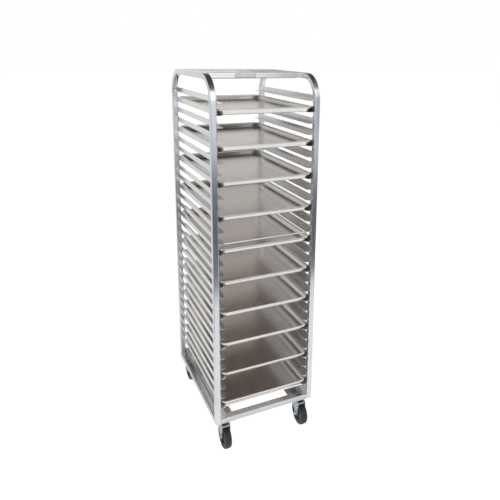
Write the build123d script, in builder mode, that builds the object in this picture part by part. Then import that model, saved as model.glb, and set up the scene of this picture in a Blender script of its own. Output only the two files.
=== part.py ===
from build123d import *
import os

# Mobile sheet pan rack: two bent tube side frames, thirty pairs of angle runners at a two inch
# pitch, two top crossbars, two front tie rods, a ring of base angles, four swivel casters and ten
# sheet pans.
# Millimetres. The origin is on the floor under the middle of the rack, +Z is up, the front of the
# rack faces -Y and +X is to the right of someone standing in front of it.

# ---------------------------------------------------------------- driving dimensions
RACK_WIDTH = 508.0
RACK_DEPTH = 650.0
RACK_HEIGHT = 1773.0
BASE_HEIGHT = 146.0  # floor to the underside of the base, the overall height of a caster

TUBE = 25.4
TUBE_WALL = 1.6
TUBE_CORNER = 3.5
BEND_OUTER = 120.0  # outer radius of the two bends of a side frame
CROSSBAR_INSET = 122.0  # front plane of the rack to the face of the nearer crossbar

LEVELS = 30
LEVEL_PITCH = 50.8
TOP_LEDGE = 1656.0  # height of the tray face of level 1
RUNNER_FLANGE = 25.4
RUNNER_LEDGE = 30.0
RUNNER_SHEET = 1.5
RUNNER_BEND = 2.5
RUNNER_CORNER = 9.0  # cut corner at each end of a ledge

TIE_LEVELS = (13, 29)  # levels with a round tie rod under the front ends of their ledges
TIE_RADIUS = 4.0
TIE_INSET = 16.0  # front plane of the rack to the axis of a tie rod
TIE_GAP = 0.1  # between a rod and the ledges above it

BASE_LIP = 28.0
BASE_SHEET = 3.2
LIP_ROUND = 1.0  # radius along the top of a lip
END_HEEL = 3.2  # outer radius of the bend of a front or rear angle
SIDE_HEEL = 2.5  # and of a side angle
GROOVE_HEIGHTS = (6.5, 10.0)  # two fine grooves along the outside of each lip
GROOVE_WIDTH = 1.0
GROOVE_DEPTH = 0.5
END_FLANGE = 63.5  # horizontal leg of the front and rear base angles
SIDE_FLANGE = 42.0  # horizontal leg of the side base angles

LABEL_SIZE = (98.0, 18.0)
LABEL_SHEET = 0.8
LABEL_CORNER = 1.5
LABEL_CENTRE_X = -55.0

PAN_LEVELS = (2, 5, 8, 11, 14, 17, 20, 23, 26, 29)
PAN_LENGTH = 648.0
PAN_WIDTH = 450.0
PAN_DEPTH = 25.4
PAN_SHEET = 1.3
PAN_FLOOR_INSET = 14.0  # rim edge to the foot of the wall, in plan
PAN_CORNER = 34.0
PAN_FOOT_RADIUS = 5.0
PAN_BEAD = 6.4
PAN_BEAD_ROUND = 2.7
PAN_REST_GAP = 0.2

CASTER_X = 202.0
CASTER_Y = 264.0
CASTER_TRAIL = 36.0
PLATE_SIZE = (100.0, 114.0)
PLATE_SHEET = 3.2
PLATE_CORNER = 6.0
PLATE_BOLT_DX = 18.0
PLATE_BOLT_DY = 32.0
RACE_OUTER = 27.0
RACE_INNER = 15.0
RACE_DEPTH = 5.0
RACE_WALL = 2.5
RACE_COVER = 0.85  # share of the gap under the plate that the turning race ring closes
FIXED_RACE_OUTER = 23.0
BALL_RADIUS = 2.9
BALL_COUNT = 14
BALL_RING = 21.0
KINGPIN_RADIUS = 6.0
KINGPIN_HEAD = 10.0
KINGPIN_HEAD_HEIGHT = 6.0
KINGPIN_GAP = 0.3  # above the head and above the end of the shank

FORK_SHEET = 2.6
FORK_GAP = 37.0
CROWN_TOP = 131.4
CROWN_REAR = 29.0
CROWN_FRONT = 60.0
SKIRT_FRONT = 9.0  # depth of the crown's side walls at its two ends
SKIRT_REAR = 14.0
AXLE_BOSS = 12.0  # how far a leg reaches round the axle
FOOT_DROP = 0.8  # share of that reach that lies below the axle
FOOT_HALF = 0.6  # half width of the foot of a leg, as a share of that reach
LEG_CORNER = 4.0
WHEEL_RADIUS = 60.5
WHEEL_WIDTH = 32.0
WHEEL_SHOULDER = 7.0
TREAD_CROWN = 1.2
TREAD_HALF = 12.0  # half width of the tread between its rounded shoulders
TYRE_INNER = 43.0
HUB_RADIUS = 14.0
HUB_LENGTH = 36.0
RIM_INNER = 38.0
RIM_LENGTH = 29.0
WEB = 9.0
CORE_DRAFT = 1.5
AXLE_RADIUS = 5.0
SLEEVE_RADIUS = 7.0
AXLE_HEX = 16.0
AXLE_HEAD = 6.0
AXLE_CROWN = 0.8
AXLE_CROWN_RADIUS = 7.4
AXLE_CROWN_TAPER = 30.0
AXLE_TAIL = 11.0
NUT_COLLAR = 2.5
NUT_COLLAR_RADIUS = 7.0
THREAD_CLEARANCE = 0.02
RUNNING_CLEARANCE = 0.05

BOLT_RADIUS = 4.0
BOLT_HOLE = 4.4
BOLT_HEX = 13.0
BOLT_HEAD = 5.3
BOLT_TAIL = 8.5  # length of thread below the top plate
BOLT_CHAMFER = 0.6
NUT_HEIGHT = 6.5

# ---------------------------------------------------------------- derived places
HALF_W = RACK_WIDTH / 2
HALF_D = RACK_DEPTH / 2
INNER_X = HALF_W - TUBE  # inner faces of the uprights
FLOOR_TOP = BASE_HEIGHT + BASE_SHEET  # upper face of the base angles' horizontal legs
PLATE_BOTTOM = BASE_HEIGHT - PLATE_SHEET
RACE_BOTTOM = PLATE_BOTTOM - RACE_DEPTH
CROWN_BOTTOM = CROWN_TOP - FORK_SHEET

os.makedirs("parts", exist_ok=True)


def save(piece, name):
    """Label one finished piece and write its STEP file."""
    piece.part.label = name
    export_step(piece.part, f"parts/{name}.step")


def ledge_height(level):
    """Height of the tray face of a level, counted from the top."""
    return TOP_LEDGE - LEVEL_PITCH * (level - 1)


# ---------------------------------------------------------------- side frames
def side_frame(side):
    """One square tube bent into an inverted U that stands in the side plane."""
    x = side * (HALF_W - TUBE / 2)
    leg = HALF_D - TUBE / 2
    top = RACK_HEIGHT - TUBE / 2
    foot = Plane(origin=(x, -leg, BASE_HEIGHT), x_dir=(1, 0, 0), z_dir=(0, 0, 1))
    with BuildPart() as frame:
        with BuildLine(Plane.YZ.offset(x)) as route:
            FilletPolyline(
                (-leg, BASE_HEIGHT), (-leg, top), (leg, top), (leg, BASE_HEIGHT),
                radius=BEND_OUTER - TUBE / 2,
            )
        with BuildSketch(foot):
            RectangleRounded(TUBE, TUBE, TUBE_CORNER)
            RectangleRounded(
                TUBE - 2 * TUBE_WALL, TUBE - 2 * TUBE_WALL, TUBE_CORNER - TUBE_WALL,
                mode=Mode.SUBTRACT,
            )
        sweep(path=route.line)
    return frame


save(side_frame(-1), "left_side_frame")
save(side_frame(1), "right_side_frame")


# ---------------------------------------------------------------- top crossbars and label
def crossbar(end):
    """A square tube between the two side frames; end is -1 at the front and 1 at the rear."""
    y = end * (HALF_D - CROSSBAR_INSET - TUBE / 2)
    start = Plane(origin=(-INNER_X, y, RACK_HEIGHT - TUBE / 2), x_dir=(0, 1, 0), z_dir=(1, 0, 0))
    with BuildPart() as bar:
        with BuildSketch(start):
            RectangleRounded(TUBE, TUBE, TUBE_CORNER)
            RectangleRounded(
                TUBE - 2 * TUBE_WALL, TUBE - 2 * TUBE_WALL, TUBE_CORNER - TUBE_WALL,
                mode=Mode.SUBTRACT,
            )
        extrude(amount=2 * INNER_X)
    return bar


save(crossbar(-1), "front_top_crossbar")
save(crossbar(1), "rear_top_crossbar")

label_face = Plane(
    origin=(LABEL_CENTRE_X, -HALF_D + CROSSBAR_INSET, RACK_HEIGHT - TUBE / 2),
    x_dir=(1, 0, 0),
    z_dir=(0, -1, 0),
)
with BuildPart() as label_plate:
    with BuildSketch(label_face):
        RectangleRounded(*LABEL_SIZE, LABEL_CORNER)
    extrude(amount=LABEL_SHEET)
save(label_plate, "label_plate")


# ---------------------------------------------------------------- runners
def runner_set(side):
    """Thirty angle runners of one side, each a separate solid against the uprights."""
    root_x = side * INNER_X
    low = TOP_LEDGE - RUNNER_SHEET
    with BuildPart() as runner:
        with BuildSketch(Plane.XZ.offset(-HALF_D)):
            with BuildLine():
                Polyline(
                    (root_x, low),
                    (root_x - side * RUNNER_LEDGE, low),
                    (root_x - side * RUNNER_LEDGE, low + RUNNER_SHEET),
                    (root_x - side * RUNNER_SHEET, low + RUNNER_SHEET),
                    (root_x - side * RUNNER_SHEET, low + RUNNER_FLANGE),
                    (root_x, low + RUNNER_FLANGE),
                    close=True,
                )
            make_face()
        extrude(amount=RACK_DEPTH)
        heel = runner.edges().filter_by(Axis.Y).group_by(Axis.Z)[0].sort_by(Axis.X)
        fillet(heel[-1] if side > 0 else heel[0], RUNNER_BEND)
        tips = runner.edges().filter_by(Axis.Z).sort_by(Axis.X)
        chamfer(tips[:2] if side > 0 else tips[-2:], RUNNER_CORNER)
    with BuildPart() as runners:
        with Locations(*[(0, 0, -LEVEL_PITCH * n) for n in range(LEVELS)]):
            add(runner.part)
    return runners


save(runner_set(-1), "left_runners")
save(runner_set(1), "right_runners")


# ---------------------------------------------------------------- front tie rods
def tie_height(level):
    """Height of the axis of the rod under the ledges of a level."""
    return ledge_height(level) - RUNNER_SHEET - TIE_GAP - TIE_RADIUS


with BuildPart() as front_tie_rods:
    with BuildSketch(Plane.YZ.offset(-INNER_X)):
        with Locations(*[(TIE_INSET - HALF_D, tie_height(level)) for level in TIE_LEVELS]):
            Circle(TIE_RADIUS)
    extrude(amount=2 * INNER_X)
save(front_tie_rods, "front_tie_rods")


# ---------------------------------------------------------------- base
def bolt_places(sx, sy):
    """The three bolts of the caster at corner sx, sy that pass through the base angles."""
    x = sx * CASTER_X
    y = sy * CASTER_Y
    return [
        (x - sx * PLATE_BOLT_DX, y + sy * PLATE_BOLT_DY),
        (x + sx * PLATE_BOLT_DX, y + sy * PLATE_BOLT_DY),
        (x + sx * PLATE_BOLT_DX, y - sy * PLATE_BOLT_DY),
    ]


def end_angle(end):
    """Base angle across the front or the rear, notched round the feet of the uprights."""
    lip = BASE_SHEET
    edge = end * HALF_D
    inner = end * (HALF_D - END_FLANGE)
    with BuildPart() as angle:
        with BuildSketch(Plane.XY.offset(BASE_HEIGHT)):
            with Locations((0, (edge + inner) / 2)):
                Rectangle(2 * (HALF_W - lip), END_FLANGE)
            with Locations(
                (INNER_X + TUBE / 2, end * (HALF_D - TUBE / 2)),
                (-INNER_X - TUBE / 2, end * (HALF_D - TUBE / 2)),
            ):
                Rectangle(TUBE, TUBE, mode=Mode.SUBTRACT)
            holes = [p for sx in (-1, 1) for p in bolt_places(sx, end)[:2]]
            with Locations(*holes):
                Circle(BOLT_HOLE, mode=Mode.SUBTRACT)
        extrude(amount=BASE_SHEET)
        with BuildSketch(Plane.XY.offset(BASE_HEIGHT)):
            with Locations((0, end * (HALF_D - lip / 2))):
                Rectangle(2 * INNER_X, lip)
        extrude(amount=BASE_LIP)
        upper = angle.edges().filter_by(Axis.X).group_by(Axis.Z)[-1]
        fillet(upper, LIP_ROUND)
        outer = angle.edges().filter_by(Axis.X).group_by(Axis.Z)[0].sort_by(Axis.Y)
        fillet(outer[0] if end < 0 else outer[-1], END_HEEL)
        with BuildSketch(Plane.YZ.offset(-INNER_X)):
            with Locations(*[(edge, BASE_HEIGHT + height) for height in GROOVE_HEIGHTS]):
                Rectangle(2 * GROOVE_DEPTH, GROOVE_WIDTH)
        extrude(amount=2 * INNER_X, mode=Mode.SUBTRACT)
    return angle


def side_angle(side):
    """Base angle along one side, between the uprights."""
    lip = BASE_SHEET
    between = HALF_D - TUBE
    middle = HALF_D - END_FLANGE
    with BuildPart() as angle:
        with BuildSketch(Plane.XY.offset(BASE_HEIGHT)):
            with Locations((side * (HALF_W - (SIDE_FLANGE + lip) / 2), 0)):
                Rectangle(SIDE_FLANGE - lip, 2 * middle)
            holes = [bolt_places(side, sy)[2] for sy in (-1, 1)]
            with Locations(*holes):
                Circle(BOLT_HOLE, mode=Mode.SUBTRACT)
        extrude(amount=BASE_SHEET)
        with BuildSketch(Plane.XY.offset(BASE_HEIGHT)):
            with Locations((side * (HALF_W - lip / 2), 0)):
                Rectangle(lip, 2 * between)
        extrude(amount=BASE_LIP)
        upper = angle.edges().filter_by(Axis.Y).group_by(Axis.Z)[-1]
        fillet(upper, LIP_ROUND)
        outer = angle.edges().filter_by(Axis.Y).group_by(Axis.Z)[0].sort_by(Axis.X)
        fillet(outer[0] if side < 0 else outer[-1], SIDE_HEEL)
        with BuildSketch(Plane.XZ.offset(-between)):
            with Locations(*[(side * HALF_W, BASE_HEIGHT + height) for height in GROOVE_HEIGHTS]):
                Rectangle(2 * GROOVE_DEPTH, GROOVE_WIDTH)
        extrude(amount=2 * between, mode=Mode.SUBTRACT)
    return angle


save(end_angle(-1), "front_base_angle")
save(end_angle(1), "rear_base_angle")
save(side_angle(-1), "left_base_angle")
save(side_angle(1), "right_base_angle")


# ---------------------------------------------------------------- sheet pans
def pan_bowl(low, inset):
    """The drafted body of a pan, drawn in by inset all round, from its floor to the rim."""
    foot = (PAN_WIDTH - 2 * (PAN_FLOOR_INSET + inset), PAN_LENGTH - 2 * (PAN_FLOOR_INSET + inset))
    top = (PAN_WIDTH - PAN_BEAD - 2 * inset, PAN_LENGTH - PAN_BEAD - 2 * inset)
    with BuildPart() as bowl:
        with BuildSketch(Plane.XY.offset(low + inset)):
            RectangleRounded(*foot, PAN_CORNER - PAN_FLOOR_INSET / 2 - inset)
        with BuildSketch(Plane.XY.offset(low + PAN_DEPTH - PAN_BEAD / 2)):
            RectangleRounded(*top, PAN_CORNER - PAN_BEAD / 2 - inset)
        loft()
        fillet(bowl.edges().group_by(Axis.Z)[0], PAN_FOOT_RADIUS - inset)
    return bowl


def sheet_pan(level):
    """A shallow pan with drafted walls, rounded corners and a rolled bead for a rim."""
    low = ledge_height(level) + PAN_REST_GAP
    outside = pan_bowl(low, 0)
    hollow = pan_bowl(low, PAN_SHEET)
    bead = PAN_BEAD + PAN_SHEET
    with BuildPart() as pan:
        add(outside.part)
        add(hollow.part, mode=Mode.SUBTRACT)
        with BuildSketch(Plane.XY.offset(low + PAN_DEPTH - PAN_BEAD)):
            RectangleRounded(PAN_WIDTH, PAN_LENGTH, PAN_CORNER)
            RectangleRounded(
                PAN_WIDTH - 2 * bead, PAN_LENGTH - 2 * bead, PAN_CORNER - bead,
                mode=Mode.SUBTRACT,
            )
        extrude(amount=PAN_BEAD)
        fillet(pan.edges().group_by(Axis.Z)[-1], PAN_BEAD_ROUND)
    return pan


for place, level in enumerate(PAN_LEVELS, start=1):
    save(sheet_pan(level), f"sheet_pan_{place:02d}")


# ---------------------------------------------------------------- casters
CORNERS = {
    "front_left": (-1, -1),
    "front_right": (1, -1),
    "rear_left": (-1, 1),
    "rear_right": (1, 1),
}


def top_plate(sx, sy):
    """Mounting plate with the fixed half of the ball race pressed into its underside."""
    x = sx * CASTER_X
    y = sy * CASTER_Y
    with BuildPart() as plate:
        with BuildSketch(Plane.XY.offset(PLATE_BOTTOM)):
            with Locations((x, y)):
                RectangleRounded(*PLATE_SIZE, PLATE_CORNER)
                Circle(KINGPIN_RADIUS + RUNNING_CLEARANCE, mode=Mode.SUBTRACT)
            with Locations(*bolt_places(sx, sy)):
                Circle(BOLT_HOLE, mode=Mode.SUBTRACT)
        extrude(amount=PLATE_SHEET)
        with BuildSketch(Plane.XY.offset(RACE_BOTTOM)):
            with Locations((x, y)):
                Circle(FIXED_RACE_OUTER)
                Circle(RACE_INNER, mode=Mode.SUBTRACT)
        extrude(amount=RACE_DEPTH)
    return plate


def ball_ring(sx, sy):
    """The ring of loose balls that carries the fork."""
    middle = Location((sx * CASTER_X, sy * CASTER_Y, (RACE_BOTTOM + CROWN_TOP) / 2))
    with BuildPart() as balls:
        with Locations(middle):
            with PolarLocations(BALL_RING, BALL_COUNT):
                Sphere(BALL_RADIUS)
    return balls


def kingpin(sx, sy):
    """Rivet that hangs the fork from the top plate."""
    head_low = CROWN_BOTTOM - KINGPIN_HEAD_HEIGHT
    with BuildPart() as pin:
        with BuildSketch(Plane.XY.offset(head_low)):
            with Locations((sx * CASTER_X, sy * CASTER_Y)):
                Circle(KINGPIN_RADIUS)
        extrude(amount=BASE_HEIGHT - KINGPIN_GAP - head_low)
        with BuildSketch(Plane.XY.offset(head_low)):
            with Locations((sx * CASTER_X, sy * CASTER_Y)):
                Circle(KINGPIN_HEAD)
        extrude(amount=CROWN_BOTTOM - KINGPIN_GAP - head_low)
        fillet(pin.edges().group_by(Axis.Z)[0], KINGPIN_HEAD / 5)
    return pin


def fork(sx, sy):
    """Pressed fork: a crown with the turning half of the race and two tapered legs."""
    x = sx * CASTER_X
    y = sy * CASTER_Y
    axle_y = y + sy * CASTER_TRAIL  # the wheel trails outwards, away from the middle of the rack
    half = FORK_GAP / 2 + FORK_SHEET
    foot_z = WHEEL_RADIUS - FOOT_DROP * AXLE_BOSS
    nose_y = y + sy * CROWN_FRONT
    with BuildPart() as body:
        with BuildSketch(Plane.YZ.offset(x - half)):
            with BuildLine():
                Polyline(
                    (y - sy * CROWN_REAR, CROWN_TOP),
                    (nose_y, CROWN_TOP),
                    (nose_y, CROWN_TOP - SKIRT_FRONT),
                    (axle_y + sy * AXLE_BOSS, WHEEL_RADIUS + AXLE_BOSS / 3),
                    (axle_y + sy * AXLE_BOSS * FOOT_HALF, foot_z),
                    (axle_y - sy * AXLE_BOSS * FOOT_HALF, foot_z),
                    (axle_y - sy * AXLE_BOSS, WHEEL_RADIUS + AXLE_BOSS / 6),
                    (y - sy * CROWN_REAR, CROWN_TOP - SKIRT_REAR),
                    close=True,
                )
            make_face()
        extrude(amount=2 * half)
        lower_corners = [
            edge
            for edge in body.edges().filter_by(Axis.X)
            if edge.center().Z < WHEEL_RADIUS + AXLE_BOSS
        ]
        fillet(lower_corners, LEG_CORNER)
        fillet(body.edges().filter_by(Axis.X).group_by(Axis.Z)[-1], LEG_CORNER)
        fillet(body.faces().sort_by(Axis.Z)[-1].edges().filter_by(Axis.Y), LEG_CORNER)
        with BuildSketch():
            with Locations((x, y)):
                Rectangle(FORK_GAP, 2 * (CROWN_REAR + CROWN_FRONT + CASTER_TRAIL))
        extrude(amount=CROWN_BOTTOM, mode=Mode.SUBTRACT)
        with BuildSketch(Plane.XZ.offset(FORK_SHEET - nose_y if sy > 0 else -nose_y)):
            with Locations((x, CROWN_TOP - (SKIRT_FRONT + LEG_CORNER) / 2)):
                Rectangle(FORK_GAP + FORK_SHEET, SKIRT_FRONT - LEG_CORNER)
        extrude(amount=-FORK_SHEET)
        with BuildSketch(Plane.XY.offset(CROWN_BOTTOM)):
            with Locations((x, y)):
                Circle(RACE_OUTER)
        extrude(amount=FORK_SHEET)
        with BuildSketch(Plane.XY.offset(CROWN_TOP)):
            with Locations((x, y)):
                Circle(RACE_OUTER)
                Circle(RACE_OUTER - RACE_WALL, mode=Mode.SUBTRACT)
        extrude(amount=RACE_COVER * (PLATE_BOTTOM - CROWN_TOP))
        with BuildSketch(Plane.XY.offset(CROWN_BOTTOM)):
            with Locations((x, y)):
                Circle(KINGPIN_RADIUS + RUNNING_CLEARANCE)
        extrude(amount=FORK_SHEET, mode=Mode.SUBTRACT)
        with BuildSketch(Plane.YZ.offset(x - half)):
            with Locations((axle_y, WHEEL_RADIUS)):
                Circle(AXLE_RADIUS + RUNNING_CLEARANCE)
        extrude(amount=2 * half, mode=Mode.SUBTRACT)
    return body


def axle_bolt(sx, sy):
    """Axle bolt with its hexagon head on the right of the fork."""
    x = sx * CASTER_X
    centre = (sy * (CASTER_Y + CASTER_TRAIL), WHEEL_RADIUS)
    half = FORK_GAP / 2 + FORK_SHEET
    tail = half + AXLE_TAIL
    with BuildPart() as bolt:
        with BuildSketch(Plane.YZ.offset(x - tail)):
            with Locations(centre):
                Circle(AXLE_RADIUS)
        extrude(amount=tail + half)
        chamfer(bolt.edges().filter_by(GeomType.CIRCLE).sort_by(Axis.X)[0], AXLE_RADIUS / 5)
        with BuildSketch(Plane.YZ.offset(x + half)):
            with Locations(centre):
                RegularPolygon(AXLE_HEX / 2, 6, major_radius=False)
        extrude(amount=AXLE_HEAD)
        with BuildSketch(Plane.YZ.offset(x + half + AXLE_HEAD)):
            with Locations(centre):
                Circle(AXLE_CROWN_RADIUS)
        extrude(amount=AXLE_CROWN, taper=AXLE_CROWN_TAPER)
    return bolt


def axle_nut(sx, sy):
    """Locking nut on the left of the fork: a hexagon with a round collar."""
    face = sx * CASTER_X - FORK_GAP / 2 - FORK_SHEET
    centre = (sy * (CASTER_Y + CASTER_TRAIL), WHEEL_RADIUS)
    with BuildPart() as nut:
        with BuildSketch(Plane.YZ.offset(face)):
            with Locations(centre):
                RegularPolygon(AXLE_HEX / 2, 6, major_radius=False)
                Circle(AXLE_RADIUS + THREAD_CLEARANCE, mode=Mode.SUBTRACT)
        extrude(amount=-NUT_HEIGHT)
        with BuildSketch(Plane.YZ.offset(face - NUT_HEIGHT)):
            with Locations(centre):
                Circle(NUT_COLLAR_RADIUS)
                Circle(AXLE_RADIUS + THREAD_CLEARANCE, mode=Mode.SUBTRACT)
        extrude(amount=-NUT_COLLAR)
    return nut


def axle_sleeve(sx, sy):
    """Spacer clamped between the legs, on which the wheel turns."""
    x = sx * CASTER_X
    axle_y = sy * (CASTER_Y + CASTER_TRAIL)
    with BuildPart() as sleeve:
        with BuildSketch(Plane.YZ.offset(x - FORK_GAP / 2)):
            with Locations((axle_y, WHEEL_RADIUS)):
                Circle(SLEEVE_RADIUS)
                Circle(AXLE_RADIUS + RUNNING_CLEARANCE, mode=Mode.SUBTRACT)
        extrude(amount=FORK_GAP)
    return sleeve


def wheel_core(sx, sy):
    """Moulded wheel centre: hub, thin web and the rim that carries the tyre."""
    axle = Plane(
        origin=(sx * CASTER_X, sy * (CASTER_Y + CASTER_TRAIL), WHEEL_RADIUS),
        x_dir=(0, 1, 0),
        z_dir=(0, 0, 1),
    )
    bore = SLEEVE_RADIUS + RUNNING_CLEARANCE
    hub_foot = HUB_RADIUS + CORE_DRAFT
    rim_foot = RIM_INNER - CORE_DRAFT
    with BuildPart() as core:
        with BuildSketch(axle):
            with BuildLine():
                Polyline(
                    (bore, -HUB_LENGTH / 2),
                    (HUB_RADIUS, -HUB_LENGTH / 2),
                    (hub_foot, -WEB / 2),
                    (rim_foot, -WEB / 2),
                    (RIM_INNER, -RIM_LENGTH / 2),
                    (TYRE_INNER, -RIM_LENGTH / 2),
                    (TYRE_INNER, RIM_LENGTH / 2),
                    (RIM_INNER, RIM_LENGTH / 2),
                    (rim_foot, WEB / 2),
                    (hub_foot, WEB / 2),
                    (HUB_RADIUS, HUB_LENGTH / 2),
                    (bore, HUB_LENGTH / 2),
                    close=True,
                )
            make_face()
        revolve(axis=Axis(axle.origin, (1, 0, 0)))
        waists = [
            edge
            for edge in core.edges().filter_by(GeomType.CIRCLE)
            if abs(abs(edge.center().X - sx * CASTER_X) - WEB / 2) < 0.01
        ]
        fillet(waists, CORE_DRAFT)
    return core


def tyre(sx, sy):
    """Solid rubber tyre with a slightly crowned tread."""
    axle = Plane(
        origin=(sx * CASTER_X, sy * (CASTER_Y + CASTER_TRAIL), WHEEL_RADIUS),
        x_dir=(0, 1, 0),
        z_dir=(0, 0, 1),
    )
    half = WHEEL_WIDTH / 2
    flank = WHEEL_RADIUS - WHEEL_SHOULDER
    crown = WHEEL_RADIUS - TREAD_CROWN
    with BuildPart() as ring:
        with BuildSketch(axle):
            with BuildLine():
                Polyline((flank, -half), (TYRE_INNER, -half), (TYRE_INNER, half), (flank, half))
                Spline((flank, half), (crown, TREAD_HALF), tangents=[(1, 0), (0.35, -1)])
                ThreePointArc((crown, TREAD_HALF), (WHEEL_RADIUS, 0), (crown, -TREAD_HALF))
                Spline((crown, -TREAD_HALF), (flank, -half), tangents=[(-0.35, -1), (-1, 0)])
            make_face()
        revolve(axis=Axis(axle.origin, (1, 0, 0)))
    return ring


for corner, (sx, sy) in CORNERS.items():
    save(top_plate(sx, sy), f"{corner}_top_plate")
    save(ball_ring(sx, sy), f"{corner}_swivel_balls")
    save(kingpin(sx, sy), f"{corner}_kingpin")
    save(fork(sx, sy), f"{corner}_fork")
    save(axle_bolt(sx, sy), f"{corner}_axle_bolt")
    save(axle_nut(sx, sy), f"{corner}_axle_nut")
    save(axle_sleeve(sx, sy), f"{corner}_axle_sleeve")
    save(wheel_core(sx, sy), f"{corner}_wheel_core")
    save(tyre(sx, sy), f"{corner}_tyre")

# ---------------------------------------------------------------- caster bolts and nuts
all_bolts = [place for sx, sy in CORNERS.values() for place in bolt_places(sx, sy)]

with BuildPart() as caster_bolts:
    with BuildSketch(Plane.XY.offset(PLATE_BOTTOM - BOLT_TAIL)):
        with Locations(*all_bolts):
            Circle(BOLT_RADIUS)
    extrude(amount=FLOOR_TOP - PLATE_BOTTOM + BOLT_TAIL)
    with BuildSketch(Plane.XY.offset(FLOOR_TOP)):
        with Locations(*all_bolts):
            RegularPolygon(BOLT_HEX / 2, 6, major_radius=False)
    extrude(amount=BOLT_HEAD)
    chamfer(caster_bolts.edges().group_by(Axis.Z)[-1], BOLT_CHAMFER)
save(caster_bolts, "caster_bolts")

with BuildPart() as caster_nuts:
    with BuildSketch(Plane.XY.offset(PLATE_BOTTOM - NUT_HEIGHT)):
        with Locations(*all_bolts):
            RegularPolygon(BOLT_HEX / 2, 6, major_radius=False)
            Circle(BOLT_RADIUS + THREAD_CLEARANCE, mode=Mode.SUBTRACT)
    extrude(amount=NUT_HEIGHT)
save(caster_nuts, "caster_nuts")
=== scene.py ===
import math
import random

import bmesh
import bpy
from mathutils import Matrix, Vector


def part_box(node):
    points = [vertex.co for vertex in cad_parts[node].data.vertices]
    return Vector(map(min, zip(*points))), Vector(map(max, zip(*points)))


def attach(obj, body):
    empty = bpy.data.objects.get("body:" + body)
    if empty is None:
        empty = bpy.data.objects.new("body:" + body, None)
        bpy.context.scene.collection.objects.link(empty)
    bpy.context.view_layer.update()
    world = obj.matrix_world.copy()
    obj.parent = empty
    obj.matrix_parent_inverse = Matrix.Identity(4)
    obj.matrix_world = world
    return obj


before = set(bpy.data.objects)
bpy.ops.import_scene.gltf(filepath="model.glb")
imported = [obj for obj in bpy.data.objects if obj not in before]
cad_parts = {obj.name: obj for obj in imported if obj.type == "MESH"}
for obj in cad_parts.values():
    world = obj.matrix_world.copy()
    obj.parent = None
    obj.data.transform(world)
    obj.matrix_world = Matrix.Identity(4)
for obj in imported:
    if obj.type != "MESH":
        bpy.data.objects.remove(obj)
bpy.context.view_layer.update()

# The rack stands on z = 0 with its front towards -Y and its middle on x = y = 0. Lengths are in metres.
MM = 0.001
X, Y, Z = range(3)
CORNERS = ("front_left", "front_right", "rear_left", "rear_right")
SIDES = {"left": -1, "right": 1}  # the way along X
ENDS = {"front": -1, "rear": 1}  # the way along Y
PANS = tuple(sorted(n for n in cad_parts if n.startswith("sheet_pan_")))

LEVELS = 30
LEVEL_PITCH = 50.8 * MM
SHEET = 1.5 * MM  # thickness of a runner


def face(node, axis, way):
    """Where the box of a CAD node ends along an axis, on its low side (-1) or its high side (1)."""
    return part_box(node)[way > 0][axis]


# ---------------------------------------------------------------- camera
LENS = 37.87
SENSOR = 36.0
CAMERA_PLACE = Vector((-0.906, -2.379, 1.872))
CAMERA_YAW = math.radians(26.30)  # to the right of +Y
CAMERA_PITCH = math.radians(-13.41)
CAMERA_ROLL = math.radians(1.056)
CAMERA_SHIFT = (-0.0799, -0.1492)


def make_camera():
    """The photograph's view: in front of the rack, to its left, above its top."""
    data = bpy.data.cameras.new("camera")
    data.sensor_width = SENSOR
    data.lens = LENS
    data.shift_x, data.shift_y = CAMERA_SHIFT
    camera = bpy.data.objects.new("camera", data)
    bpy.context.scene.collection.objects.link(camera)
    ahead = Vector((
        math.sin(CAMERA_YAW) * math.cos(CAMERA_PITCH),
        math.cos(CAMERA_YAW) * math.cos(CAMERA_PITCH),
        math.sin(CAMERA_PITCH),
    ))
    level = Vector((math.cos(CAMERA_YAW), -math.sin(CAMERA_YAW), 0))
    above = level.cross(ahead)
    right = level * math.cos(CAMERA_ROLL) + above * math.sin(CAMERA_ROLL)
    up = above * math.cos(CAMERA_ROLL) - level * math.sin(CAMERA_ROLL)
    turn = Matrix((right, up, -ahead)).transposed()
    camera.matrix_world = Matrix.Translation(CAMERA_PLACE) @ turn.to_4x4()
    bpy.context.scene.camera = camera


# ---------------------------------------------------------------- shader nodes
WHITE = (1, 1, 1)
MIX_A, MIX_B, MIX_COLOUR = 6, 7, 2  # numbers of the colour sockets of a Mix node
BEVEL_SAMPLES = 4


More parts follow.
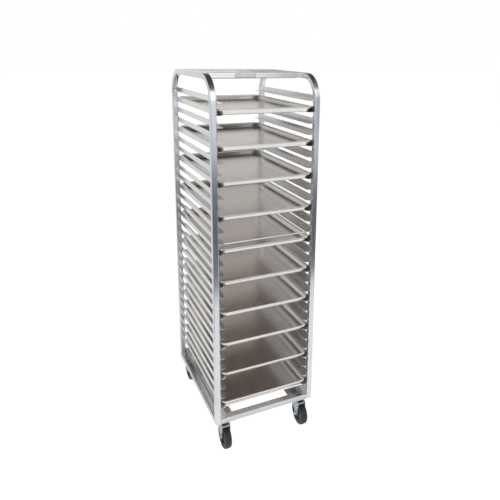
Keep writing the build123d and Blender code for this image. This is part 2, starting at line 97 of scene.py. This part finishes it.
class Tree:
    """A tree of shader nodes and short calls for the few kinds of node used here."""

    def __init__(self, owner):
        owner.use_nodes = True
        self.tree = owner.node_tree

    def node(self, kind):
        return self.tree.nodes.new("ShaderNode" + kind)

    def fill(self, node, inputs):
        """Give inputs, by name or number, constants or the outputs of other nodes."""
        for key, value in inputs.items():
            socket = node.inputs[key]
            if isinstance(value, bpy.types.NodeSocket):
                self.tree.links.new(value, socket)
            elif socket.type == "RGBA":
                socket.default_value = (*value, 1)
            else:
                socket.default_value = value
        return node

    def split(self, vector):
        """The X, Y and Z of a vector."""
        return self.fill(self.node("SeparateXYZ"), {"Vector": vector}).outputs

    def span(self, value, low, high, start=0.0, curve="LINEAR"):
        """A number that goes from start to 1 while the value goes from low to high."""
        node = self.node("MapRange")
        node.interpolation_type = curve
        self.fill(node, {"Value": value, "From Min": low, "From Max": high, "To Min": start})
        return node.outputs["Result"]

    def ramp(self, source, stops):
        """A colour ramp with stops as (position, grey or colour)."""
        node = self.fill(self.node("ValToRGB"), {"Fac": source})
        elements = node.color_ramp.elements
        while len(elements) < len(stops):
            elements.new(0.5)
        for element, (place, colour) in zip(elements, stops):
            element.position = place
            rgb = colour if isinstance(colour, tuple) else (colour,) * 3
            element.color = (*rgb, 1)
        return node.outputs["Color"]

    def math(self, operation, *values):
        """The result of an operation on constants or outputs."""
        node = self.node("Math")
        node.operation = operation
        return self.fill(node, dict(enumerate(values))).outputs[0]

    def mix(self, factor, a, b, blend="MIX"):
        """Colour a at factor 0, blended into b at factor 1."""
        node = self.node("Mix")
        node.data_type = "RGBA"
        node.blend_type = blend
        return self.fill(node, {0: factor, MIX_A: a, MIX_B: b}).outputs[MIX_COLOUR]


class Graph(Tree):
    """A material. Its textures stay where they are on the shape when the shape moves."""

    def __init__(self, name):
        self.material = bpy.data.materials.new(name)
        super().__init__(self.material)
        self.shader = self.tree.nodes["Principled BSDF"]
        self.place = self.node("TexCoord").outputs["Object"]

    def shade(self, inputs):
        """Give the shader its constants and textures, and return the material."""
        self.fill(self.shader, inputs)
        return self.material

    def stretched(self, scale):
        """Object coordinates scaled differently along each axis."""
        return self.fill(self.node("Mapping"), {"Vector": self.place, "Scale": scale}).outputs["Vector"]

    def noise(self, scale=1.0, detail=3, roughness=0.55, where=None, distortion=0.0):
        """Cloudy values about 0.5, over the object's coordinates or over those given."""
        return self.fill(self.node("TexNoise"), {
            "Vector": where or self.place, "Scale": scale, "Detail": detail, "Roughness": roughness,
            "Distortion": distortion,
        }).outputs["Fac"]

    def bump(self, height, strength, distance, under=None):
        """The normal of a surface with bumps, on top of the normal under it."""
        node = self.fill(self.node("Bump"), {"Height": height, "Strength": strength, "Distance": distance})
        if under is not None:
            self.fill(node, {"Normal": under})
        return node.outputs["Normal"]

    def soft_edges(self, radius):
        """A normal that rounds sharp edges off by radius."""
        node = self.fill(self.node("Bevel"), {"Radius": radius})
        node.samples = BEVEL_SAMPLES
        return node.outputs["Normal"]

    def worn_and_highlighted_edges(self, radius):
        """White on the outer edges of a shape, where handling wears it and where a painted highlight
        lightens it, and black on its flats.
        """
        product = self.node("VectorMath")
        product.operation = "DOT_PRODUCT"
        flat = self.node("NewGeometry").outputs["Normal"]
        self.fill(product, {0: self.soft_edges(radius), 1: flat})
        bend = self.math("SUBTRACT", 1.0, product.outputs["Value"])
        return self.ramp(bend, [(0.02, 0.0), (0.25, 1.0)])

    def beyond(self, node, axes):
        """How far a point is outside the box of a CAD node along these axes, below 0 inside it."""
        low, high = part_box(node)
        middle, half = (low + high) / 2, (high - low) / 2
        place = self.split(self.place)
        gaps = []
        for axis in axes:
            offset = self.math("SUBTRACT", place[axis], middle[axis])
            gaps.append(self.math("SUBTRACT", self.math("ABSOLUTE", offset), half[axis]))
        return self.math("MAXIMUM", *gaps)


# ---------------------------------------------------------------- studio
# What stands round the rack at each elevation in degrees, as grey or colour, from the floor up.
DUSK = (0.10, 0.115, 0.14)  # the dim strip of floor along a wall
BACKDROP = (
    (-60, 0.80), (-12, 0.86), (8, 0.95), (17, 0.62), (26, 0.24), (38, 0.08), (80, 0.06),
)
SOFTBOX = (
    (-60, 0.80), (-28, 0.78), (-25, DUSK), (-14, DUSK), (-10, (0.86, 0.90, 0.96)), (6, 0.96),
    (15, 1.6), (38, 1.6), (46, 0.5), (54, 0.16), (80, 0.06),
)
WINDOW = (
    (-60, 0.80), (-28, 0.78), (-25, DUSK), (-14, DUSK), (-11, (0.94, 0.97, 1.0)),
    (-8, (0.42, 0.45, 0.50)), (8, (0.44, 0.47, 0.52)), (20, 0.9), (36, 1.1), (46, 0.3), (80, 0.05),
)
# Where one gives way to the next, as parts of the direction along an axis.
SOFTBOX_TO_WINDOW = (0.36, 0.46)  # along X
FRONT_TO_BACKDROP = (-0.35, 0.3)  # along Y
DIM_TO_FULL = (-0.5, -0.1)  # along X
LEFT_STRENGTH = 0.74  # of the light from the far left

FLOOR_REACH = 40.0
SWEEP = ((-1.1, -1.95), (6, 8))  # the part of the floor that the metal mirrors
SWEEP_LIFT = 0.15 * MM
FLOOR_GLOW = 0.66
SWEEP_GLOW = 0.34

LIGHT_AIM = Vector((0, 0, 0.9))
LIGHTS = {  # place, width and power in watts
    "key_light": (Vector((-2.6, -2.2, 3.1)), 1.8, 42),
    "fill_light": (Vector((3.2, -1.2, 2.2)), 2.2, 22),
}


def around(sky, height, bands):
    """The colours of one part of the studio, over the sine of the elevation."""
    stops = [((math.sin(math.radians(angle)) + 1) / 2, colour) for angle, colour in bands]
    return sky.ramp(height, stops)


def make_world():
    """White for the camera; for the rack a bright backdrop, lit walls and a dim ceiling."""
    world = bpy.data.worlds.new("studio")
    sky = Tree(world)
    sky.tree.nodes.clear()
    way = sky.split(sky.node("TexCoord").outputs["Generated"])
    height = sky.span(way["Z"], -1, 1)
    backdrop, softbox, window = (around(sky, height, bands) for bands in (BACKDROP, SOFTBOX, WINDOW))
    aside = sky.span(way["X"], *SOFTBOX_TO_WINDOW, curve="SMOOTHSTEP")
    ahead = sky.span(way["Y"], *FRONT_TO_BACKDROP, curve="SMOOTHSTEP")
    studio = sky.mix(ahead, sky.mix(aside, softbox, window), backdrop)
    strength = sky.span(way["X"], *DIM_TO_FULL, start=LEFT_STRENGTH, curve="SMOOTHSTEP")
    lit = sky.fill(sky.node("Background"), {"Color": studio, "Strength": strength})
    plain = sky.fill(sky.node("Background"), {"Color": WHITE})
    seen = sky.node("LightPath").outputs["Is Camera Ray"]
    either = sky.fill(sky.node("MixShader"), {0: seen, 1: lit.outputs[0], 2: plain.outputs[0]})
    sky.fill(sky.node("OutputWorld"), {"Surface": either.outputs[0]})
    bpy.context.scene.world = world


def floor_material(name, glow):
    """Pale matt floor with a faint unevenness."""
    graph = Graph(name)
    tone = graph.noise(scale=1.2, detail=2)
    return graph.shade({
        "Base Color": graph.ramp(tone, [(0.3, 0.93), (0.7, 0.96)]),
        "Roughness": 0.9,
        "Specular IOR Level": 0.1,
        "Emission Color": WHITE,
        "Emission Strength": glow,
    })


def flat_patch(name, low, high, z, material):
    """A level rectangle of the floor."""
    mesh = bpy.data.meshes.new(name)
    corners = [(low[X], low[Y], z), (high[X], low[Y], z), (high[X], high[Y], z), (low[X], high[Y], z)]
    mesh.from_pydata(corners, [], [(0, 1, 2, 3)])
    mesh.materials.append(material)
    patch = bpy.data.objects.new(name, mesh)
    bpy.context.scene.collection.objects.link(patch)
    return patch


def make_studio():
    """The pale floor, the part of it that the metal mirrors, and two soft lights."""
    ends = (-FLOOR_REACH, -FLOOR_REACH), (FLOOR_REACH, FLOOR_REACH)
    floor = flat_patch("floor", *ends, 0, floor_material("pale_floor", FLOOR_GLOW))
    sweep = flat_patch("sweep", *SWEEP, SWEEP_LIFT, floor_material("mirrored_floor", SWEEP_GLOW))
    floor.visible_glossy = False
    sweep.visible_camera = False
    sweep.visible_diffuse = False
    sweep.visible_shadow = False
    for name, (place, width, power) in LIGHTS.items():
        light = bpy.data.lights.new(name, "AREA")
        light.size = width
        light.energy = power
        lamp = bpy.data.objects.new(name, light)
        bpy.context.scene.collection.objects.link(lamp)
        lamp.location = place
        lamp.rotation_euler = (LIGHT_AIM - place).to_track_quat("-Z", "Y").to_euler()
        lamp.visible_glossy = False


# ---------------------------------------------------------------- materials
ROUGH_SPREAD = 0.08  # of the roughness of aluminium, between the lines of its grain
PAN_FLOOR_END = -16 * MM  # inside the pan's outline: floor browned by the oven and darkened as painted shade, up to here
PAN_WALL_START = -9 * MM  # and wall and rim lightened by wear and as painted highlight, from here outwards
LABEL_BORDER = (-2.2 * MM, 0.7 * MM)  # its middle line, from the plate's outline, and half its width


def aluminium(name, pale, dark, rough, grain, spot=0.25, edge=0.7 * MM, metallic=1.0):
    """Worked aluminium: drawn grain along one axis, faint smudges, scuffs, and edges lightened by wear and
    as painted highlight.
    """
    graph = Graph(name)
    lines = graph.noise(detail=5, roughness=0.7, where=graph.stretched(grain))
    clouds = graph.noise(scale=7, detail=4, distortion=0.6)
    smudge = graph.noise(scale=34, detail=5, roughness=0.6)
    grey = graph.ramp(clouds, [(0.32, dark), (0.68, pale)])
    streak = graph.ramp(lines, [(0.3, 0.92), (0.7, 1.0)])
    tint = graph.mix(1.0, grey, streak, "MULTIPLY")
    marks = graph.ramp(smudge, [(0.62, 1.0), (0.78, 1.0 - spot)])
    body = graph.mix(0.6, tint, marks, "MULTIPLY")
    # edges lightened towards a paler tone: partly wear from handling, partly painted highlight
    worn_and_highlighted = graph.worn_and_highlighted_edges(edge)
    bright = tuple(min(1.0, part * 1.1) for part in pale)
    haze = graph.math("MULTIPLY_ADD", lines, ROUGH_SPREAD, rough - ROUGH_SPREAD / 2)
    wiped = graph.math("ADD", haze, graph.math("MULTIPLY", smudge, 0.05))
    fine = graph.bump(lines, 0.25, 0.015 * MM, graph.soft_edges(edge))
    return graph.shade({
        "Metallic": metallic,
        "Base Color": graph.mix(worn_and_highlighted, body, bright),
        "Roughness": graph.math("SUBTRACT", wiped, graph.math("MULTIPLY", worn_and_highlighted, 0.1)),
        "Normal": graph.bump(smudge, 0.1, 0.03 * MM, fine),
    })


def tube_metal():
    """Drawn square tube; the grain runs up the legs and along the top."""
    return aluminium(
        "drawn_tube", pale=(0.82, 0.83, 0.85), dark=(0.76, 0.77, 0.79), rough=0.14, grain=(420, 420, 9),
    )


def highlighted_crossbar_metal():
    """The tube and rod that run across the rack, in a warmer, paler tone than the side frames as painted
    highlight.
    """
    return aluminium(
        # pale and dark are lightened and warmed as painted highlight
        "drawn_crossbar_highlighted", pale=(0.98, 0.965, 0.93), dark=(0.94, 0.925, 0.89), rough=0.09,
        grain=(9, 420, 420), spot=0.1,
    )


def runner_metal():
    """Extruded angle, drawn along the depth of the rack, with rub marks from pans."""
    return aluminium(
        "runner_angle", pale=(0.88, 0.875, 0.87), dark=(0.82, 0.815, 0.81), rough=0.2,
        grain=(520, 7, 520), spot=0.2, edge=0.45 * MM, metallic=0.9,
    )


def base_metal(name, grain):
    """The duller angle of the base ring."""
    return aluminium(
        name, pale=(0.70, 0.70, 0.71), dark=(0.64, 0.64, 0.65), rough=0.24, grain=grain, spot=0.2,
        metallic=0.92,
    )


def pan_metal():
    """Rolled sheet: a floor browned by the oven and darkened as painted shade, and walls and a rim worn
    bright and lightened as painted highlight.
    """
    graph = Graph("pan_sheet")
    clouds = graph.noise(scale=3.5, detail=2)
    lines = graph.noise(detail=2, where=graph.stretched((30, 3, 3)))
    rim_wear_and_highlight_mask = graph.span(graph.beyond(PANS[0], (X, Y)), PAN_FLOOR_END, PAN_WALL_START)
    # floor colour: oven browning, darkened further as painted shade
    floor = graph.ramp(clouds, [(0.35, (0.62, 0.565, 0.525)), (0.65, (0.67, 0.62, 0.58))])
    # wall and rim colour: worn metal, lightened as painted highlight
    rim = graph.ramp(clouds, [(0.35, (0.80, 0.79, 0.775)), (0.65, (0.86, 0.85, 0.835))])
    streak = graph.ramp(lines, [(0.35, 0.97), (0.65, 1.0)])
    return graph.shade({
        "Metallic": 0.92,
        "Base Color": graph.mix(1.0, graph.mix(rim_wear_and_highlight_mask, floor, rim), streak, "MULTIPLY"),
        "Roughness": graph.ramp(clouds, [(0.3, 0.20), (0.7, 0.25)]),
        "Normal": graph.bump(lines, 0.1, 0.01 * MM),
    })


def zinc_metal():
    """Blue zinc plate on pressed steel."""
    graph = Graph("blue_zinc")
    edge = 0.6 * MM
    clouds = graph.noise(scale=22, detail=4, distortion=1.0)
    spangle = graph.noise(scale=260, detail=2)
    tint = graph.ramp(clouds, [
        (0.30, (0.36, 0.41, 0.48)), (0.52, (0.44, 0.48, 0.54)), (0.70, (0.54, 0.55, 0.56)),
    ])
    body = graph.mix(0.5, tint, graph.ramp(spangle, [(0.35, 0.8), (0.65, 1.0)]), "MULTIPLY")
    return graph.shade({
        "Metallic": 1.0,
        # edges lightened to a pale zinc: partly wear from handling, partly painted highlight
        "Base Color": graph.mix(graph.worn_and_highlighted_edges(edge), body, (0.74, 0.76, 0.79)),
        "Roughness": graph.ramp(clouds, [(0.3, 0.24), (0.7, 0.40)]),
        "Normal": graph.bump(spangle, 0.15, 0.05 * MM, graph.soft_edges(edge)),
    })


def bright_steel():
    """Bright zinc plate of the nuts, bolts, balls and kingpins."""
    graph = Graph("bright_zinc")
    clouds = graph.noise(scale=90, detail=4)
    turned = graph.noise(scale=700, detail=2)
    return graph.shade({
        "Metallic": 1.0,
        "Base Color": graph.ramp(clouds, [(0.3, (0.70, 0.71, 0.73)), (0.7, (0.84, 0.84, 0.85))]),
        "Roughness": graph.ramp(clouds, [(0.3, 0.18), (0.7, 0.34)]),
        "Normal": graph.bump(turned, 0.1, 0.04 * MM, graph.soft_edges(0.5 * MM)),
    })


def nylon():
    """Moulded wheel centre."""
    graph = Graph("moulded_nylon")
    clouds = graph.noise(scale=60, detail=4)
    grain = graph.noise(scale=1400, detail=2)
    return graph.shade({
        "Base Color": graph.ramp(clouds, [(0.3, (0.045, 0.045, 0.05)), (0.7, (0.075, 0.075, 0.082))]),
        "Roughness": graph.ramp(clouds, [(0.3, 0.42), (0.7, 0.58)]),
        "Normal": graph.bump(grain, 0.2, 0.06 * MM, graph.soft_edges(0.8 * MM)),
    })


def rubber():
    """Solid tyre: dark, matt and paler in dusty patches."""
    graph = Graph("tyre_rubber")
    speck = graph.noise(scale=240, detail=5, roughness=0.65)
    dust = graph.noise(scale=30, detail=4)
    dark = graph.ramp(speck, [(0.35, (0.006, 0.006, 0.008)), (0.68, (0.012, 0.012, 0.015))])
    veil = graph.ramp(dust, [(0.5, 0.0), (0.85, 0.10)])
    return graph.shade({
        "Base Color": graph.mix(veil, dark, (0.075, 0.073, 0.07)),
        "Roughness": graph.ramp(speck, [(0.3, 0.40), (0.7, 0.58)]),
        "Normal": graph.bump(speck, 0.3, 0.12 * MM),
    })


def label_material():
    """Blank printed plate: a grey field with a thin dark border and a faint grain."""
    graph = Graph("blank_label")
    border = graph.math("COMPARE", graph.beyond("label_plate", (X, Z)), *LABEL_BORDER)
    cloud = graph.noise(scale=40, detail=3)
    grain = graph.noise(detail=3, where=graph.stretched((40, 900, 900)))
    field = graph.ramp(cloud, [(0.3, (0.50, 0.51, 0.52)), (0.7, (0.58, 0.58, 0.58))])
    return graph.shade({
        "Base Color": graph.mix(border, field, (0.06, 0.06, 0.07)),
        "Roughness": graph.ramp(cloud, [(0.3, 0.35), (0.7, 0.5)]),
        "Normal": graph.bump(grain, 0.15, 0.03 * MM),
    })


def weld_metal():
    """Bright ripple of cast filler with a little soot."""
    graph = Graph("weld_bead")
    soot = graph.noise(scale=160, detail=4)
    return graph.shade({
        "Metallic": 1.0,
        "Base Color": graph.ramp(soot, [
            (0.32, (0.45, 0.44, 0.43)), (0.5, (0.74, 0.74, 0.75)), (0.7, (0.86, 0.86, 0.87)),
        ]),
        "Roughness": graph.ramp(soot, [(0.3, 0.5), (0.7, 0.26)]),
        "Normal": graph.bump(soot, 0.35, 0.12 * MM),
    })


def paint(node, material):
    """Give a CAD node this material alone."""
    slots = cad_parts[node].data.materials
    slots.clear()
    slots.append(material)


def paint_all():
    """Give every CAD node its finish."""
    tube = tube_metal()
    crossbar = highlighted_crossbar_metal()
    runner = runner_metal()
    pan = pan_metal()
    zinc = zinc_metal()
    steel = bright_steel()
    core = nylon()
    tyre = rubber()
    for side in SIDES:
        paint(f"{side}_side_frame", tube)
        paint(f"{side}_runners", runner)
        paint(f"{side}_base_angle", base_metal(f"{side}_base_extrusion", (460, 8, 460)))
    for end in ENDS:
        paint(f"{end}_top_crossbar", crossbar)
        paint(f"{end}_base_angle", base_metal(f"{end}_base_extrusion", (8, 460, 460)))
    paint("front_tie_rods", crossbar)
    paint("label_plate", label_material())
    for node in PANS:
        paint(node, pan)
    for corner in CORNERS:
        for piece in ("top_plate", "fork"):
            paint(f"{corner}_{piece}", zinc)
        for piece in ("swivel_balls", "kingpin", "axle_bolt", "axle_nut", "axle_sleeve"):
            paint(f"{corner}_{piece}", steel)
        paint(f"{corner}_wheel_core", core)
        paint(f"{corner}_tyre", tyre)
    for node in ("caster_bolts", "caster_nuts"):
        paint(node, steel)


# ---------------------------------------------------------------- weld beads
BEAD_SIDES = 8  # corners of a bead's section
RIPPLE = 1.7 * MM  # distance between two ripples
RIPPLE_HEIGHT = 0.12  # as a share of the radius
RIPPLE_STEPS = 3  # sections to a ripple
LEAST_STEPS = 6  # sections of the shortest bead
UNEVENNESS = 0.05  # share by which the radius of a section may be off
BLUNTNESS = 6  # the higher, the shorter the taper at both ends
END_SHARE = 0.1  # radius left at the very ends

RUNNER_BEAD = 1.25 * MM  # radii
CROSSBAR_BEAD = 1.6 * MM
TIE_ROD_BEAD = 1.3 * MM
BASE_BEAD = 1.7 * MM

RUNNER_BEAD_START = (4 * MM, 6 * MM)  # least and most, from the front or rear of the rack
RUNNER_BEAD_STOP = (3 * MM, 6 * MM)  # least and most, before the inner edge of the upright
RUNNER_BEAD_DEPTH = 0.55 * SHEET  # from the side of the upright to the middle of a bead
CROSSBAR_INSET = 3 * MM  # bare stretch at each end of a bead
CROSSBAR_DROP = 1.7 * MM  # of the upper beads, below the top of the bar
TIE_ROD_INSET = 1 * MM  # from the end of a rod to the middle of a bead
RING_PARTS = 4  # beads that make up the lower half of the ring round a rod
BASE_BEAD_FOOT = 2 * MM  # from the underside of the base up to a bead
BASE_BEAD_TOP = 1 * MM  # from the top of a bead up to the edge of the lip
LIP_INSET = 1 * MM  # from the front or rear of the rack to the bead between a foot and that lip
SIDE_LIP_INSET = 1.2 * MM  # from the side of the rack to the bead between a foot and the side lip


def add_bead(mesh, start, end, radius, chance):
    """One weld bead from start to end: a rippled ridge that tapers at both ends."""
    start, end = Vector(start), Vector(end)
    along = (end - start).normalized()
    across = along.orthogonal().normalized()
    upward = along.cross(across)
    length = (end - start).length
    steps = max(LEAST_STEPS, round(length / (RIPPLE / RIPPLE_STEPS)))
    phase = chance.uniform(0, math.tau)
    rings = []
    for step in range(steps + 1):
        share = step / steps
        dome = math.sqrt(max(0.0, 1 - (2 * share - 1) ** BLUNTNESS))
        taper = dome * (1 - END_SHARE) + END_SHARE
        wave = 1 + RIPPLE_HEIGHT * math.sin(math.tau * share * length / RIPPLE + phase)
        size = radius * taper * wave * chance.uniform(1 - UNEVENNESS, 1 + UNEVENNESS)
        middle = start.lerp(end, share)
        ring = []
        for side in range(BEAD_SIDES):
            angle = math.tau * side / BEAD_SIDES
            place = middle + across * size * math.cos(angle) + upward * size * math.sin(angle)
            ring.append(mesh.verts.new(place))
        rings.append(ring)
    for first, second in zip(rings, rings[1:]):
        for side in range(BEAD_SIDES):
            after = (side + 1) % BEAD_SIDES
            mesh.faces.new((first[side], first[after], second[after], second[side]))
    mesh.faces.new(reversed(rings[0]))
    mesh.faces.new(rings[-1])


def weld_piece(name, beads, material, chance):
    """Beads as (start, end, radius), made as one object on the rack."""
    mesh = bmesh.new()
    for start, end, radius in beads:
        add_bead(mesh, start, end, radius, chance)
    bmesh.ops.recalc_face_normals(mesh, faces=mesh.faces)
    for polygon in mesh.faces:
        polygon.smooth = True
    data = bpy.data.meshes.new(name)
    mesh.to_mesh(data)
    mesh.free()
    data.materials.append(material)
    piece = bpy.data.objects.new(name, data)
    bpy.context.scene.collection.objects.link(piece)
    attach(piece, "rack")


def tube_width(side):
    """Width of the square tube that a side frame is bent from."""
    return face(f"{side}_side_frame", X, 1) - face(f"{side}_side_frame", X, -1)


def runner_welds(material, chance):
    """Short beads where the top edge of each runner meets the uprights."""
    for side, sign in SIDES.items():
        x = face(f"{side}_runners", X, sign) - sign * RUNNER_BEAD_DEPTH
        top = face(f"{side}_runners", Z, 1)
        tube = tube_width(side)
        for end, way in ENDS.items():
            edge = face(f"{side}_side_frame", Y, way)
            beads = []
            for level in range(LEVELS):
                z = top - level * LEVEL_PITCH
                near = edge - way * chance.uniform(*RUNNER_BEAD_START)
                far = edge - way * (tube - chance.uniform(*RUNNER_BEAD_STOP))
                beads.append(((x, near, z), (x, far, z), RUNNER_BEAD))
            weld_piece(f"{end}_{side}_runner_welds", beads, material, chance)


def crossbar_welds(material, chance):
    """A bead round each end of the two top crossbars."""
    for end in ENDS:
        low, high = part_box(f"{end}_top_crossbar")
        bottom, top = low.z + CROSSBAR_INSET, high.z - CROSSBAR_INSET
        front, rear = low.y + CROSSBAR_INSET, high.y - CROSSBAR_INSET
        beads = []
        for x in (low.x, high.x):
            for y in (low.y, high.y):
                beads.append(((x, y, bottom), (x, y, top), CROSSBAR_BEAD))
            for z in (low.z, high.z - CROSSBAR_DROP):
                beads.append(((x, front, z), (x, rear, z), CROSSBAR_BEAD))
        weld_piece(f"{end}_crossbar_welds", beads, material, chance)


def base_welds(material, chance):
    """Upright beads where the lips of the base angles butt against the feet."""
    bottom = face("front_base_angle", Z, -1) + BASE_BEAD_FOOT
    top = face("front_base_angle", Z, 1) - BASE_BEAD_TOP
    for side, sign in SIDES.items():
        inner = face(f"{side}_side_frame", X, -sign)
        outer = face(f"{side}_side_frame", X, sign) - sign * SIDE_LIP_INSET
        for end, way in ENDS.items():
            edge = face(f"{side}_side_frame", Y, way)
            places = ((inner, edge - way * LIP_INSET), (outer, edge - way * tube_width(side)))
            beads = [((*place, bottom), (*place, top), BASE_BEAD) for place in places]
            weld_piece(f"{end}_{side}_base_welds", beads, material, chance)


def tie_rod_welds(material, chance):
    """Half a ring of beads under both ends of each tie rod, where it butts against the uprights."""
    low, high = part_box("front_tie_rods")
    radius = (high.y - low.y) / 2
    beads = []
    for z in (low.z + radius, high.z - radius):
        for x in (low.x + TIE_ROD_INSET, high.x - TIE_ROD_INSET):
            ring = []
            for turn in range(RING_PARTS + 1):
                angle = math.pi * (turn / RING_PARTS + 1)
                ring.append((x, low.y + radius + radius * math.cos(angle), z + radius * math.sin(angle)))
            beads += [(start, end, TIE_ROD_BEAD) for start, end in zip(ring, ring[1:])]
    weld_piece("tie_rod_welds", beads, material, chance)


make_camera()
make_world()
make_studio()
paint_all()
bead_metal = weld_metal()
chance = random.Random(7)
for add_welds in (runner_welds, crossbar_welds, base_welds, tie_rod_welds):
    add_welds(bead_metal, chance)

scene = bpy.context.scene
scene.view_settings.view_transform = "Standard"
scene.view_settings.look = "None"
